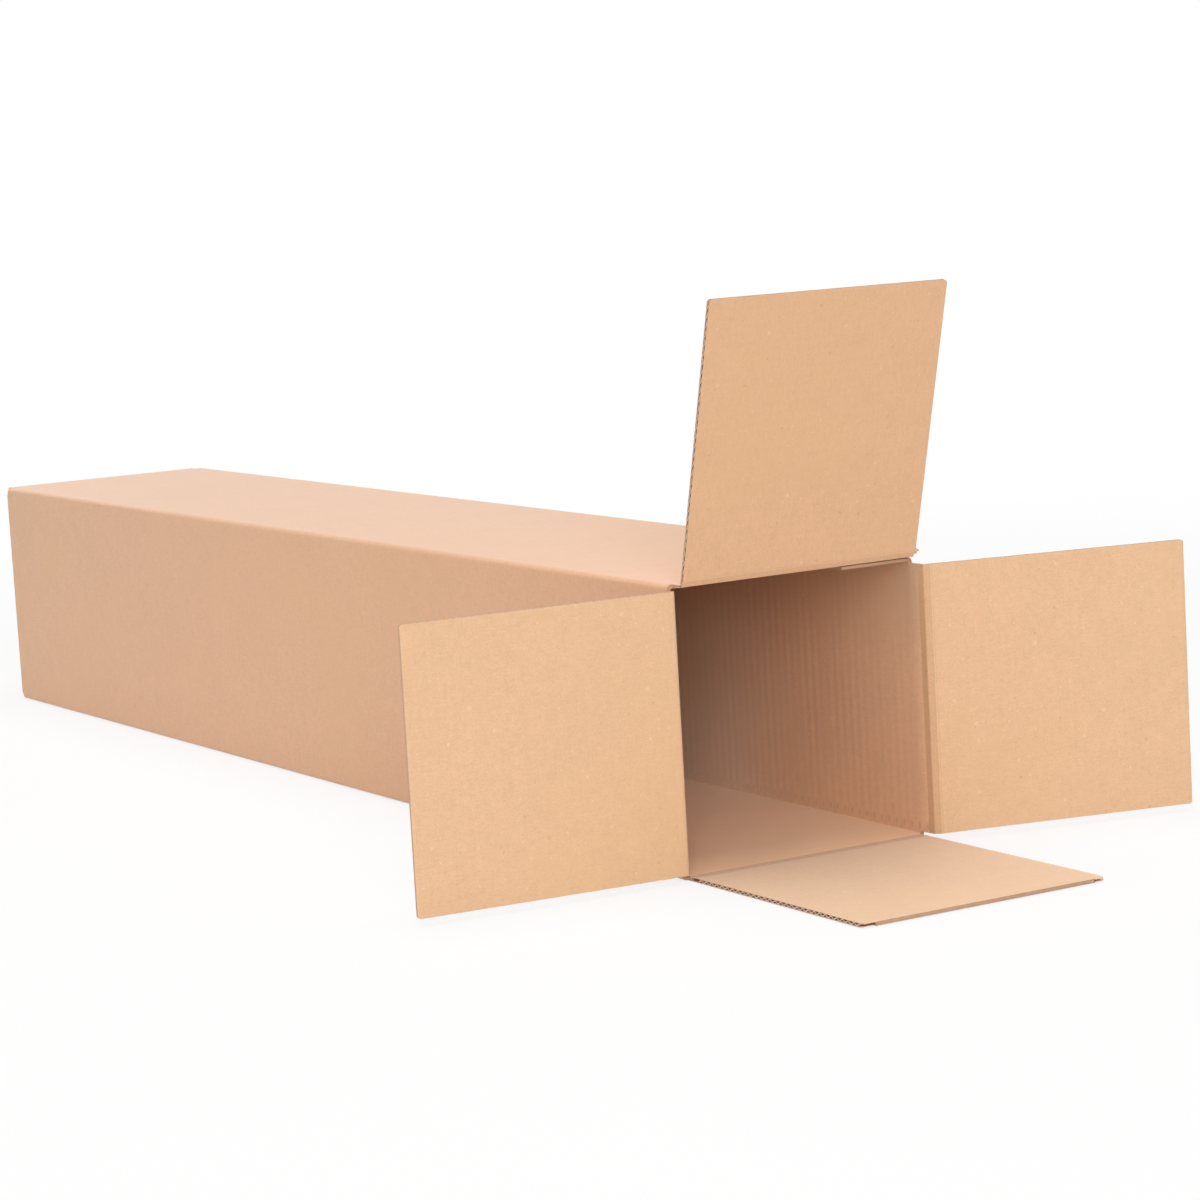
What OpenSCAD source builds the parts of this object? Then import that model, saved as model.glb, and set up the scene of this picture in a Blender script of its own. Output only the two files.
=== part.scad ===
// Long open shipping box, folded from one sheet of fine-fluted board.
// The box lies on its bottom wall with its mouth towards -Y and its far end closed.
// The flutes run around the box, so they show as an open wave on the side edges of each flap.

/* [Inside of the box] */
// Inside width, across the mouth
inner_w = 105; // [70:1:200]
// Inside height
inner_h = 105; // [70:1:200]
// Inside length, between the closed ends
inner_l = 630; // [250:1:900]

/* [Board] */
// Thickness of the board
board_t = 1.6; // [1.2:0.1:3]
// Thickness of each flat facing of the board
facing_t = 0.25; // [0.15:0.05:0.35]
// Thickness of the waved sheet between the facings
wave_t = 0.2; // [0.1:0.05:0.3]
// Length of one wave of the flutes
flute_pitch = 3.4; // [2.6:0.1:7]
// Outside radius of the long folds
fold_r = 2; // [1.7:0.1:4]
// Inside radius of the long folds
fold_inner_r = 0.4; // [0.2:0.1:1]

/* [Flaps] */
// Clearance between a closed flap's tip and the wall that it reaches
tip_clearance = 0.5; // [0.4:0.1:3]
// How far each side of a flap is cut back from the corner of the box
slot_half = 2.3; // [2:0.1:6]
// How far the top flap is cut back at the glued joint
seam_slot = 3.6; // [3:0.1:6]
// Length of the heel that the slot leaves beside the top flap's fold line
heel_l = 2.7; // [1.5:0.1:6]
// Radius of the corners at a flap's tip
tip_r = 1.2; // [0.5:0.1:6]
// Clearance between one closed flap and the next
layer_gap = 0.3; // [0.2:0.1:1]
// Opening at a fold line, between a wall and its flap
hinge_gap = 0.2; // [0.1:0.05:0.4]
// Length next to a fold line where the flutes are crushed flat
crush_l = 1.2; // [0.8:0.1:4]

/* [Open flaps] */
// How far the left flap is folded back from in line with its wall
left_open = 94.4; // [0:0.1:165]
// How far the right flap is folded back
right_open = 76.7; // [0:0.1:165]
// How far the top flap is folded back
top_open = 74.9; // [0:0.1:165]

/* [Glued joint] */
// Width of the glued strip under the top wall
tab_w = 30; // [15:1:45]
// How far the strip's end stands back from the ends of the slots
tab_back = 0.4; // [0.2:0.1:20]
// How far the top wall's cut edge stands back from the right wall's face
seam_back = 0.6; // [0.2:0.1:1.5]

/* [Hidden] */
$fn = 48;
card = [0.86, 0.68, 0.49];
card_inside = [0.90, 0.73, 0.56];
eps = 0.01;

outer_w = inner_w + 2 * board_t;
outer_h = inner_h + 2 * board_t;
half_w = outer_w / 2;
inner_half_w = inner_w / 2;
inner_top = board_t + inner_h;
// One closed flap lies a step further out than the one before it
step = board_t + layer_gap;
// Where each fold line stands in front of the mouth's innermost one
left_level = 0;
bottom_level = step;
top_level = 2 * step;
right_level = 3 * step;
// The tip of each flap stops short of the wall, or the open flap, that it reaches
side_flap_l = inner_w + board_t - tip_clearance;
end_flap_l = inner_h + board_t - tip_clearance;
left_flap_w = outer_h - 2 * slot_half;
bottom_flap_w = outer_w - 2 * slot_half;
// The right wall ends under the top wall, so its flap is narrower and sits lower
right_h = outer_h - board_t;
right_flap_w = right_h - 2 * slot_half;
// The top flap is cut back further at the glued joint, so it sits off the middle
top_flap_w = outer_w - slot_half - seam_slot;
top_flap_x = (slot_half - seam_slot) / 2;
heel_w = inner_half_w - layer_gap - (half_w - seam_slot);
// The slots between the flaps end just behind the innermost fold line's score
slot_end = board_t + hinge_gap;
// The closed end starts where the inside length ends
far_y = board_t + inner_l;
mid_y = far_y / 2;
outer_layer = 3;
// Half the height of the wave's middle line, and the shape of the tunnels on each side of it
wave_a = (board_t - 2 * facing_t - wave_t) / 2;
tunnel_roof = board_t / 2 - facing_t;
tunnel_floor = wave_t / 2 - wave_a;
tunnel_floor_half = 0.08 * flute_pitch;
tunnel_mid_half = 0.25 * flute_pitch;
tunnel_roof_half = 0.4 * flute_pitch;
wave_slope = atan(wave_a / (tunnel_mid_half - tunnel_floor_half));
tunnel_mid = wave_t / 2 / cos(wave_slope);

// Outline with rounded corners: square_corner leaves the upper right one sharp
module rounded(w, h, r, square_corner = false) {
    difference() {
        translate([-w / 2, 0]) square([w, h]);
        for (sx = [-1, 1], top = [0, 1])
            if (!(square_corner && sx == 1 && top == 1))
                translate([sx * w / 2, top * h])
                    difference() {
                        square(2 * r, center = true);
                        translate([-sx * r, (1 - 2 * top) * r]) circle(r);
                    }
    }
}

// Section of the box's four walls, seen from the mouth, with X across and Y up
module wall_section() {
    difference() {
        rounded(outer_w, outer_h, fold_r, square_corner = true);
        translate([0, board_t]) rounded(inner_w, inner_h, fold_inner_r);
        // The top wall is cut off at the glued joint
        translate([half_w - seam_back, inner_top]) square([2 * board_t, 2 * board_t]);
        // The right wall is rounded where it turns under the top wall
        translate([half_w, inner_top])
            difference() {
                square(2 * board_t, center = true);
                translate([-board_t, -board_t]) circle(board_t);
                translate([-2 * board_t, 0]) square([2 * board_t - seam_back, board_t]);
            }
    }
}

// Stands a section up along Y, from y0 to y1
module along(y0, y1) {
    translate([0, y1, 0]) rotate([90, 0, 0]) linear_extrude(y1 - y0) children();
}

// Profile of a board's end at a fold line: u runs away from the fold, and the outer face is
// at 0. The end is mitred down to the inner face, as a pressed score is.
module scored_profile(length) {
    polygon([
        [hinge_gap / 2, 0],
        [length, 0],
        [length, -board_t],
        [board_t + hinge_gap / 2, -board_t]
    ]);
}

// One tunnel of the flutes, flat against the outer facing for side 1 and the inner one for -1
module tunnel(side) {
    translate([0, -board_t / 2])
        polygon([
            [-tunnel_roof_half, side * tunnel_roof],
            [-tunnel_mid_half, side * tunnel_mid],
            [-tunnel_floor_half, side * tunnel_floor],
            [tunnel_floor_half, side * tunnel_floor],
            [tunnel_mid_half, side * tunnel_mid],
            [tunnel_roof_half, side * tunnel_roof]
        ]);
}

// The tunnels of a flap's flutes, from the crushed strip beside its fold line to its tip
module flutes(length) {
    first = board_t + crush_l + flute_pitch / 2;
    waves = floor((length - first - flute_pitch / 2) / flute_pitch);
    for (i = [0 : waves])
        translate([first + i * flute_pitch, 0]) tunnel(1);
    for (i = [0 : waves - 1])
        translate([first + (i + 0.5) * flute_pitch, 0]) tunnel(-1);
}

// A flap's profile in line with its wall
module flap_profile(length) {
    difference() {
        scored_profile(length);
        flutes(length);
    }
}

// Outline of a flap seen on its outer face, with small round corners at the tip and a heel
// beside the fold line where the slot stops short of it
module flap_outline(length, width, heel) {
    translate([0, -width / 2]) square([length - tip_r, width]);
    translate([0, -width / 2 + tip_r]) square([length, width - 2 * tip_r]);
    for (side = [-1, 1])
        translate([length - tip_r, side * (width / 2 - tip_r)]) circle(tip_r);
    translate([0, -width / 2]) square([heel_l, width + heel]);
}

// Extrudes a board's profile along its fold line, from -reach to reach
module across(reach) {
    translate([0, reach, 0]) rotate([90, 0, 0]) linear_extrude(2 * reach) children();
}

// A flap with its fold line on the Y axis. It reaches to +X and its outer face looks up.
module flap(length, width, heel = 0) {
    intersection() {
        across(width / 2 + heel + board_t) flap_profile(length);
        translate([0, 0, -2 * board_t]) linear_extrude(3 * board_t) flap_outline(length, width, heel);
    }
}

// The stretch of wall between the mouth of the box and one flap's fold line
module wall_end(width, level) {
    mirror([1, 0, 0]) across(width / 2) scored_profile(level + slot_end + board_t);
}

// Closed flap at the far end: layer 0 lies innermost. It starts on the wall's outer face at the
// Y axis, reaches past the fold to +X, and turns down round the end of the box. The outermost
// one shows its flutes.
module far_flap(length, width, layer) {
    reach = (layer + 1) * board_t;
    across(width / 2)
        difference() {
            union() {
                translate([-2 * board_t, -board_t]) square([2 * board_t + reach, board_t]);
                translate([reach - board_t, -length]) square([board_t, length]);
            }
            translate([reach, 0])
                difference() {
                    square(2 * board_t, center = true);
                    translate([-board_t, -board_t]) circle(board_t);
                }
            if (layer == outer_layer) translate([reach, 0]) rotate(-90) flutes(length);
        }
}

// Puts something drawn for the top wall on each wall: its outer face looks out, its fold line
// stands at level in front of the mouth, and +X points out of the box
module on_top(level) {
    translate([top_flap_x, -level, outer_h]) rotate([0, 0, -90]) children();
}

module on_bottom(level) {
    translate([0, -level, 0]) rotate([0, 180, 0]) rotate([0, 0, -90]) children();
}

module on_left(level) {
    translate([-half_w, -level, outer_h / 2]) rotate([0, -90, 0]) rotate([0, 0, -90]) children();
}

module on_right(level) {
    translate([half_w, -level, right_h / 2]) rotate([0, 90, 0]) rotate([0, 0, -90]) children();
}

// The same for the far end, with +X pointing away from the box
module at_far_end() { translate([0, far_y, 0]) mirror([0, 1, 0]) children(); }

// Moves the finished pieces so that the middle of the underside is the origin
module place() { translate([0, -mid_y, 0]) children(); }

// Four walls, the glued strip, the ends of the walls at the mouth and the closed far end
module box_body() {
    color(card) place() {
        along(slot_end, far_y) wall_section();
        along(slot_end + tab_back, far_y)
            translate([inner_half_w - tab_w, inner_top - board_t]) square([tab_w + eps, board_t + eps]);
        on_left(left_level) wall_end(left_flap_w, left_level);
        on_bottom(bottom_level) wall_end(bottom_flap_w, bottom_level);
        on_top(top_level) wall_end(top_flap_w, top_level);
        on_right(right_level) wall_end(right_flap_w, right_level);
        at_far_end() {
            on_left(0) far_flap(side_flap_l, left_flap_w, 0);
            on_bottom(0) far_flap(end_flap_l, bottom_flap_w, 1);
            on_top(0) far_flap(end_flap_l, top_flap_w, 2);
            on_right(0) far_flap(side_flap_l, right_flap_w, outer_layer);
        }
    }
}

// Each flap turns about its fold line, which lies on the outer face of its wall
module left_flap() {
    color(card_inside) place()
        on_left(left_level) rotate([0, -left_open, 0]) flap(side_flap_l, left_flap_w);
}

// The bottom flap lies in line with its wall, on the surface under the box
module bottom_flap() {
    color(card_inside) place()
        on_bottom(bottom_level) flap(end_flap_l, bottom_flap_w);
}

module top_flap() {
    color(card_inside) place()
        on_top(top_level) rotate([0, -top_open, 0]) flap(end_flap_l, top_flap_w, heel_w);
}

module right_flap() {
    color(card_inside) place()
        on_right(right_level) rotate([0, -right_open, 0]) flap(side_flap_l, right_flap_w);
}

box_body();
left_flap();
bottom_flap();
top_flap();
right_flap();
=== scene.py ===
import math
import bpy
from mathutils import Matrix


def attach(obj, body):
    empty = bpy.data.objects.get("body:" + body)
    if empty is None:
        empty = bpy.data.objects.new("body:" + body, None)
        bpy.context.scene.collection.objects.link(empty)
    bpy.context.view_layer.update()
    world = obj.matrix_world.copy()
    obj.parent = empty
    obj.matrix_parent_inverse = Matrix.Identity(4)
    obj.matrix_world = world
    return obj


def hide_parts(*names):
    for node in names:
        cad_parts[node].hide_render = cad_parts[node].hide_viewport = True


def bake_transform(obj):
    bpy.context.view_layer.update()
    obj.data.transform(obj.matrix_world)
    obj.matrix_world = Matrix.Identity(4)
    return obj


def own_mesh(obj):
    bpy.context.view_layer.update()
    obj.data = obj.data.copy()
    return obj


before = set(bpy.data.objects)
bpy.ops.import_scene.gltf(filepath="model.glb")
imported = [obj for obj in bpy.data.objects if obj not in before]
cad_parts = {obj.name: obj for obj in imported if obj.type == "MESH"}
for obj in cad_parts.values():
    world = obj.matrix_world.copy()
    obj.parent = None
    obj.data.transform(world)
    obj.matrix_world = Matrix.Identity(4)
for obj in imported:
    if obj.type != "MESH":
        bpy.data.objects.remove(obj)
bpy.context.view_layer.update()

from types import SimpleNamespace

import bmesh
import bpy
from mathutils import Matrix, Vector

bl_info = {
    "name": "Open Shipping Box",
    "version": (1, 0, 0),
    "blender": (4, 5, 0),
    "location": "3D View > Sidebar > Box",
    "description": "Makes a long open box of fluted card with its flaps, folds, glued joint and studio",
    "category": "Add Mesh",
}

FLAP_ORDER = ("left", "bottom", "top", "right")
MM = 0.001
# A finished surface lies this far from one that it would otherwise share its plane with.
HAIR = 0.00002
# A flap that is opened by less than this, in radians, lies flat.
FLAT = 0.01
# A point this close to a plane, in metres, counts as on it.
ON_PLANE = 1e-4
# How many flat steps make up a bend, and the angle in degrees below which the fold's edges look smooth.
BEND_STEPS = 8
FOLD_SMOOTH = 50

# Where the blade pressed a flap's facings together: distance from the cut tip, and share of the depth below.
PRESSED_TIP = ((0.0014, 0.0), (0.0009, 0.25), (0.0005, 0.6), (0.0002, 1.0), (0.0, 1.35))
PRESSED_DEPTH = {"left": 0.00016, "bottom": 0.00006, "top": 0.00016, "right": 0.00016}
# Widths of the bottom flap's torn corner and of its crushed corner, and of the step beside each.
TORN_W = 0.0050
CRUSHED_W = 0.0040
CORNER_STEP = 0.0005

PAPER_ROUGH = 0.56

# Noises that make up the paper, in millimetres, from its widest clouds to its finest fibres.
PAPER_GRAIN = {
    "cloud": {"size": 38, "detail": 2},
    "patch": {"size": 9, "detail": 3, "shift": (310, 70, 20)},
    "blotch": {"size": 2.4, "detail": 2, "roughness": 0.6, "shift": (50, 20, 90)},
    "streak": {"size": 0.9, "detail": 3, "roughness": 0.6, "stretch": (0.16, 1.0, 1.0)},
    "mottle": {"size": 0.75, "detail": 4, "roughness": 0.65},
}
# How much each noise changes the paper's tone, and how much its height.
GRAIN_TONE = {"mottle": 0.92, "streak": 0.34, "patch": 0.18, "cloud": 0.16, "blotch": 0.34}
GRAIN_HEIGHT = {"mottle": 0.022, "streak": 0.014, "patch": 0.08}
# Patches in which the ribs show more or less, and patches of yellower paper.
RIB_PATCHES = {"size": 10.0, "detail": 3, "stretch": (1.0, 0.2, 0.2)}
YELLOW_PATCHES = {"size": 60, "detail": 1, "shift": (40, 510, 90)}
YELLOW_TINT = (1.0, 1.02, 0.90)
YELLOW_SHARE = 0.30
# How dark and how light the grain makes the paper's colour.
DARKEST = 0.80
LIGHTEST = 1.20
# Light fibres and dark specks, each in two sizes.
FLECKS = {
    "light": {
        "strength": 0.60, "tint": (1.10, 1.22, 1.45), "sizes": (
            {"cell": 9.0, "radius": 0.62, "share": 0.22, "soft": 0.7},
            {"cell": 3.6, "radius": 0.34, "share": 0.16, "soft": 0.7, "shift": (77, 13, 5)},
        ),
    },
    "dark": {
        "strength": 0.40, "tint": (0.72, 0.60, 0.50), "sizes": (
            {"cell": 9.0, "radius": 0.40, "share": 0.20, "soft": 0.6, "shift": (19, 41, 3)},
            {"cell": 3.1, "radius": 0.20, "share": 0.16, "soft": 0.35, "shift": (5, 90, 61)},
        ),
    },
}
# Painted light and shade on the inside of the walls, lighter far in and on the bottom wall and darker
# towards the top: axis, the reach over which it changes, share and tint.
PAINTED_INSIDE_LIGHT = (
    ("X", (-260, -150), 0.60, (1.14, 1.50, 2.0)),
    ("Z", (60, 108), 0.80, (0.74, 0.80, 0.84)),
    ("Z", (2.1, 1.7), 0.90, (1.25, 1.27, 1.16)),
)
# Where the painted shade of the ribs on the inside of the walls grows stronger, behind the mouth.
RIB_SHADE_REACH = (-325, -180)
RIB_SHADE_WEAKEST = 0.25
# How dark the painted shade dots along the long folds are, and how much more the crushed flutes stand out
# there.
DOTS_SHADE = 0.45
CRUSHED_RISE = 2.5
# Each kraft paper: its colour, how high the flutes show, how strongly the painted shade of their ribs shows,
# and what else sets it apart.
FLAP_PAPER = {"colour": "inside", "washboard": 0.012, "ribs": 0.010, "mapped": True}
PAPERS = {
    "kraft_outside": {
        "colour": "outside", "washboard": 0.010, "ribs": 0.004, "flecks": 0.35, "gloss": (0.45, 0.4, 0.35),
    },
    "kraft_inside": {
        "colour": "shaded", "washboard": 0.018, "ribs": 0.19, "flecks": 0.9, "walls": True,
        "gloss": (0.3, 0.25),
    },
    "kraft_left_flap": FLAP_PAPER,
    # The bottom flap's paper is tinted lighter and paler: painted light and sheen on the flap that faces up.
    "kraft_bottom_flap": {**FLAP_PAPER, "tint": (1.11, 1.14, 1.22)},
    # The top flap's paper is tinted darker: painted shade on the flap that leans over the mouth.
    "kraft_top_flap": {**FLAP_PAPER, "tint": (0.95, 0.90, 0.86)},
    "kraft_right_flap": FLAP_PAPER,
    "kraft_flap_outside": {
        "colour": "outside", "washboard": 0.010, "ribs": 0.005, "flecks": 0.5, "mapped": True,
    },
    # The folds' paper is tinted darker: painted shade in the folds.
    "kraft_fold": {
        "colour": "inside", "tint": (0.87, 0.84, 0.81), "washboard": 0.0, "ribs": 0.0, "flecks": 0.6,
    },
    "kraft_roll": {"colour": "inside", "washboard": 0.0, "ribs": 0.0, "flecks": 0.6},
}
# Name, place, size and power of each soft lamp.
LAMPS = (
    ("lamp_above", (0.0, -0.2, 2.4), 1.8, 36),
    ("lamp_front", (-1.5, -2.1, 2.3), 1.2, 12),
    ("lamp_left", (-2.6, -0.1, 0.9), 1.8, 2),
    ("lamp_low", (-1.3, -2.9, 1.15), 1.3, 33),
    ("lamp_back", (0.2, 2.6, 0.45), 0.9, 15),
)
LAMPS_AIM = (0, -0.25, 0.05)
ROOM_LIGHT = 0.27
# The camera's place in metres, its yaw, pitch and roll in degrees, and its lens in millimetres.
CAMERA_AT = (-0.722, -1.3918, 0.269)
CAMERA_TURNS = (30.70, -7.41, 3.27)
CAMERA_LENS = 107.1


def length(name, description, default):
    return bpy.props.FloatProperty(
        name=name, description=description, default=default, unit="LENGTH", subtype="DISTANCE"
    )


def angle(name, description, degrees):
    return bpy.props.FloatProperty(
        name=name, description=description, default=math.radians(degrees), subtype="ANGLE"
    )


def colour(name, description, default):
    return bpy.props.FloatVectorProperty(
        name=name, description=description, default=default, subtype="COLOR", size=3, min=0, max=1
    )


class BoxSizes(bpy.types.PropertyGroup):
    """Sizes of the box and of the board that it is folded from"""

    inner_w: length("Inside width", "Inside width, across the mouth", 0.105)
    inner_h: length("Inside height", "Inside height", 0.105)
    inner_l: length("Inside length", "Inside length, between the closed ends", 0.630)
    board: length("Board", "Thickness of the board", 0.0016)
    facing: length("Facing", "Thickness of each flat facing", 0.00025)
    wave: length("Fluting", "Thickness of the waved sheet between the facings", 0.00028)
    pitch: length("Flute pitch", "Length of one wave of the flutes", 0.0034)
    ribs: length("Ribs", "Distance between the faint ribs on the inside of the walls", 0.0049)
    fold_r: length("Fold radius", "Outside radius of the long folds", 0.002)
    tip_clearance: length("Tip clearance", "Clearance at a closed flap's tip", 0.0005)
    slot_half: length("Slot", "How far the sides of a flap are cut back from the corners", 0.0023)
    seam_slot: length("Joint slot", "How far the top flap is cut back at the glued joint", 0.0036)
    slot_end: length("Slot end", "How far the slots run in behind the innermost fold line", 0.0018)
    heel_l: length("Heel", "Length of the heel beside the top flap's fold line", 0.0027)
    tip_r: length("Tip radius", "Radius of the corners at a flap's tip", 0.0012)
    layer_gap: length("Layer gap", "Clearance between one closed flap and the next", 0.0003)
    crush: length("Crushed strip", "Length next to a fold line where the flutes are crushed", 0.0012)
    tab_w: length("Glued strip", "Width of the glued strip under the top wall", 0.030)
    tab_back: length("Strip's end", "How far the glued strip's end stands back from the slots", 0.0004)
    seam_back: length("Joint's step", "How far the top wall's edge stands back from the right wall", 0.0006)
    left_open: angle("Left flap", "How far the left flap is folded back", 94.4)
    bottom_open: angle("Bottom flap", "How far the bottom flap is folded back", 0)
    top_open: angle("Top flap", "How far the top flap is folded back", 74.9)
    right_open: angle("Right flap", "How far the right flap is folded back", 76.7)


class BoxFinishes(bpy.types.PropertyGroup):
    """Colours of the paper and of the studio"""

    outside: colour("Outside facing", "Kraft paper on the outside of the box", (0.79, 0.455, 0.263))
    inside: colour("Inside facing", "Kraft paper on the inside of the flaps", (0.81, 0.51, 0.30))
    # A shaded copy of the inside paper, a little greyer: painted for the shade and bounced light inside the
    # walls.
    shaded: colour("Inside walls", "Kraft paper on the inside of the walls", (0.80, 0.495, 0.31))
    fluting: colour("Fluting", "Brown paper of the waved sheet", (0.32, 0.19, 0.12))
    wave_cut: colour("Fluting's edges", "Cut edges of the waved sheet", (0.90, 0.68, 0.53))
    cut: colour("Cut edges", "Cut edges of the board", (0.58, 0.35, 0.22))
    floor: colour("Floor", "Floor under the box", (0.92, 0.92, 0.92))


def measure(sizes):
    """Works out what follows from the sizes, in metres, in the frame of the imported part."""
    m = SimpleNamespace(**{name: getattr(sizes, name) for name in BoxSizes.__annotations__})
    m.outer_w = m.inner_w + 2 * m.board
    m.outer_h = m.inner_h + 2 * m.board
    m.half_w = m.outer_w / 2
    m.inner_half_w = m.inner_w / 2
    m.inner_top = m.board + m.inner_h
    m.far_y = m.board + m.inner_l
    m.mid_y = m.far_y / 2
    m.seam_x = m.half_w - m.seam_back
    m.seam_start = m.half_w - m.seam_slot
    m.ridge = m.board * 0.55
    step = m.board + m.layer_gap
    m.level = {side: k * step for k, side in enumerate(FLAP_ORDER)}
    side_l = m.inner_w + m.board - m.tip_clearance
    end_l = m.inner_h + m.board - m.tip_clearance
    m.flap_l = {"left": side_l, "bottom": end_l, "top": end_l, "right": side_l}
    m.flap_w = {
        "left": m.outer_h - 2 * m.slot_half,
        "bottom": m.outer_w - 2 * m.slot_half,
        "top": m.outer_w - m.slot_half - m.seam_slot,
        "right": m.inner_top - 2 * m.slot_half,
    }
    m.heel_w = m.inner_half_w - m.layer_gap - (m.half_w - m.seam_slot)
    m.open = {"left": m.left_open, "bottom": m.bottom_open, "top": m.top_open, "right": m.right_open}
    m.fold_at = {
        "left": (-m.half_w, m.outer_h / 2, -90),
        "bottom": (0, 0, 180),
        "top": ((m.slot_half - m.seam_slot) / 2, m.outer_h, 0),
        "right": (m.half_w, m.inner_top / 2, 90),
    }
    return m


def sizes_now():
    return measure(bpy.context.scene.box_sizes)


def on_wall(m, side, opened=True):
    """Places something drawn about a fold line: X runs away from the fold and Z out of the box."""
    x, z, turn = m.fold_at[side]
    place = Matrix.Translation((x, -m.level[side] - m.mid_y, z))
    place @= Matrix.Rotation(math.radians(turn), 4, "Y") @ Matrix.Rotation(math.radians(-90), 4, "Z")
    return place @ Matrix.Rotation(-m.open[side], 4, "Y") if opened else place


def at_far_end(m, side):
    """The same for the far end of the box, where X runs away from the closed end."""
    x, z, turn = m.fold_at[side]
    place = Matrix.Translation((x, m.far_y - m.mid_y, z))
    return place @ Matrix.Rotation(math.radians(turn), 4, "Y") @ Matrix.Rotation(math.radians(90), 4, "Z")


def fresh():
    """Leaves edit mode and deselects everything, so that the next operator acts on its own piece."""
    if bpy.context.object and bpy.context.object.mode != "OBJECT":
        bpy.ops.object.mode_set(mode="OBJECT")
    bpy.ops.object.select_all(action="DESELECT")


def grid(name, low, high, columns=1, rows=1):
    """Adds a flat sheet between two corners, with its front up, and stays in edit mode."""
    fresh()
    bpy.ops.mesh.primitive_grid_add(
        x_subdivisions=columns, y_subdivisions=rows, size=1, enter_editmode=True
    )
    piece = bpy.context.object
    piece.name = name
    piece.data.name = name
    middle = [(a + b) / 2 for a, b in zip(low, high)]
    bpy.ops.transform.resize(value=(high[0] - low[0], high[1] - low[1], 1))
    bpy.ops.transform.translate(value=middle)
    return piece


def pick(piece, kind, test):
    """Selects the vertices, edges or faces whose middle passes the test."""
    bpy.ops.mesh.select_mode(type=kind)
    bpy.ops.mesh.select_all(action="DESELECT")
    mesh = bmesh.from_edit_mesh(piece.data)
    items = {"VERT": mesh.verts, "EDGE": mesh.edges, "FACE": mesh.faces}[kind]
    for item in items:
        if kind == "VERT":
            middle = item.co
        elif kind == "EDGE":
            middle = (item.verts[0].co + item.verts[1].co) / 2
        else:
            middle = item.calc_center_median()
        if test(middle, item):
            item.select_set(True)
    mesh.select_flush_mode()
    bmesh.update_edit_mesh(piece.data)


def near(a, b, reach=1e-5):
    return abs(a - b) < reach


def move(x=0.0, y=0.0, z=0.0):
    bpy.ops.transform.translate(value=(x, y, z))


def cut(piece, point, normal, test=lambda middle, face: True):
    """Cuts the faces that pass the test along a plane."""
    pick(piece, "FACE", test)
    bpy.ops.mesh.bisect(plane_co=point, plane_no=normal)


def extrude(x=0.0, y=0.0, z=0.0):
    bpy.ops.mesh.extrude_region_move(TRANSFORM_OT_translate={"value": (x, y, z)})


def modify(piece, kind, **settings):
    """Adds a modifier and applies it."""
    fresh()
    bpy.context.view_layer.objects.active = piece
    piece.select_set(True)
    modifier = piece.modifiers.new(kind.title(), kind)
    for name, value in settings.items():
        setattr(modifier, name, value)
    bpy.ops.object.modifier_apply(modifier=modifier.name)


def thicken(piece, thickness, offset=-1.0, **settings):
    modify(
        piece, "SOLIDIFY", thickness=thickness, offset=offset, use_even_offset=True,
        use_quality_normals=True, **settings,
    )


def place(piece, matrix):
    """Puts a finished piece in its place, with the place in its mesh."""
    fresh()
    bpy.context.view_layer.objects.active = piece
    piece.select_set(True)
    piece.matrix_world = matrix @ piece.matrix_world
    bpy.ops.object.transform_apply(location=True, rotation=True, scale=True)


def join(piece, *others):
    fresh()
    for other in others:
        other.select_set(True)
    piece.select_set(True)
    bpy.context.view_layer.objects.active = piece
    bpy.ops.object.join()


def smooth(piece, degrees=35):
    fresh()
    bpy.context.view_layer.objects.active = piece
    piece.select_set(True)
    bpy.ops.object.shade_smooth_by_angle(angle=math.radians(degrees))


def paper_map(piece, along, across, start):
    """Scales the piece's own map to metres and moves it to its own part of the paper."""
    for corner in piece.data.uv_layers.active.data:
        corner.uv = (start + corner.uv.x * along, corner.uv.y * across)


def wear(piece, *materials):
    piece.data.materials.clear()
    for material in materials:
        piece.data.materials.append(material)


class Socket:
    """A shader value on which Python's operators add Math nodes."""

    def __init__(self, finish, link):
        self.finish = finish
        self.link = link

    def __add__(self, other):
        return self.finish.math("ADD", self, other)

    def __sub__(self, other):
        return self.finish.math("SUBTRACT", self, other)

    def __rsub__(self, other):
        return self.finish.math("SUBTRACT", other, self)

    def __mul__(self, other):
        return self.finish.math("MULTIPLY", self, other)

    def __lt__(self, other):
        return self.finish.math("LESS_THAN", self, other)

    __radd__ = __add__
    __rmul__ = __mul__


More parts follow.
